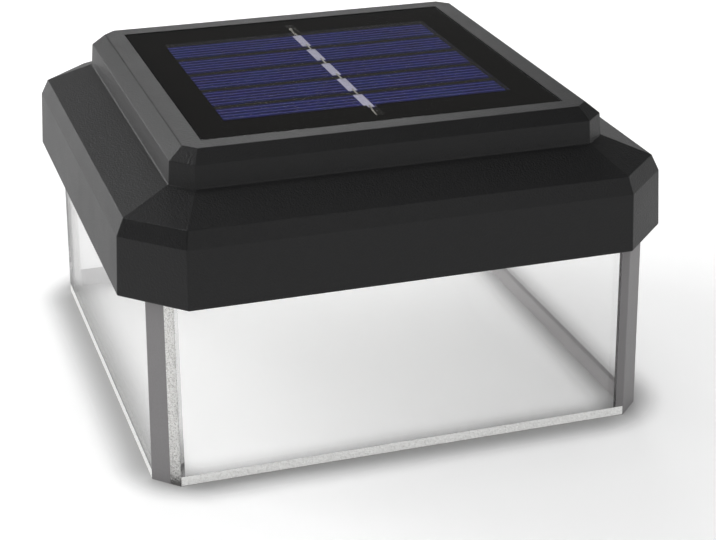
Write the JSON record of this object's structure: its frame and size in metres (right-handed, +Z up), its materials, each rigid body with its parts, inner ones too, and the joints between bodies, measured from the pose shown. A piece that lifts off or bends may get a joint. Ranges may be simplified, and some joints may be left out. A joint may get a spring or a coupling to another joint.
{
  "type": "fence light",
  "caption": "Square solar fence light: black moulded cap with a solar panel let into its top, over a clear skirt open at the bottom that drops over a post.",
  "frame": {"origin": "middle of the skirt's open bottom rim", "axes": "+Z up through the cap, -Y the front, +X to the right"},
  "size_m": [0.12, 0.12, 0.0696],
  "materials": {
    "cap_plastic": "black, moulded with a fine grain",
    "clear_plastic": "clear, moulded, frosted along its edges",
    "panel_resin": "clear poured resin",
    "panel_black": "black board, solder mask",
    "silicon_cell": "blue coated silicon",
    "tinned_metal": "tinned copper",
    "foam_tape": "foam tape",
    "red_lead": "insulated lead",
    "black_lead": "insulated lead",
    "white_plastic": "white, moulded",
    "seal_rubber": "soft seal",
    "screw_steel": "plated steel",
    "battery_sleeve": "shrink sleeve",
    "contact_metal": "nickel-plated sheet",
    "circuit_board": "green solder mask",
    "chip_black": "moulded epoxy",
    "ferrite": "ferrite core",
    "capacitor_can": "sleeved can",
    "switch_plastic": "black, moulded",
    "lamp_board_white": "white solder mask",
    "led_yellow": "phosphor under clear resin",
    "frosted_plastic": "frosted, moulded"
  },
  "bodies": {
    "lamp_body": {"cap_housing": "cap_plastic", "clear_skirt": "clear_plastic", "panel_cover": "panel_resin", "panel_board": "panel_black", "solar_cells": "silicon_cell", "cell_tabs": "tinned_metal", "link_wires": "tinned_metal", "panel_adhesive": "foam_tape", "panel_lead_red": "red_lead", "panel_lead_black": "black_lead", "tray": "white_plastic", "tray_gasket": "seal_rubber", "tray_screws": "screw_steel", "battery_cell": "battery_sleeve", "spring_contact": "contact_metal", "button_contact": "contact_metal", "battery_lead_red": "red_lead", "battery_lead_black": "black_lead", "controller_board": "circuit_board", "controller_chip": "chip_black", "choke_coil": "ferrite", "capacitor": "capacitor_can", "board_screws": "screw_steel", "switch_body": "contact_metal", "lamp_board": "lamp_board_white", "led_lamps": "led_yellow", "lamp_screws": "screw_steel", "lamp_window": "frosted_plastic", "lamp_lead_red": "red_lead", "lamp_lead_black": "black_lead"},
    "switch_slider": {"switch_slider": "switch_plastic"},
    "battery_door": {"battery_door": "white_plastic", "door_gasket": "seal_rubber", "door_screws": "screw_steel"}
  },
  "joints": [
    {"name": "switch_slide", "type": "slide", "parent": "lamp_body", "child": "switch_slider", "axis": [1, 0, 0], "range_m": [0, 0.002]},
    {"name": "door_lift", "type": "slide", "parent": "lamp_body", "child": "battery_door", "axis": [0, 0, -1], "range_m": [0, 0.03]}
  ]
}
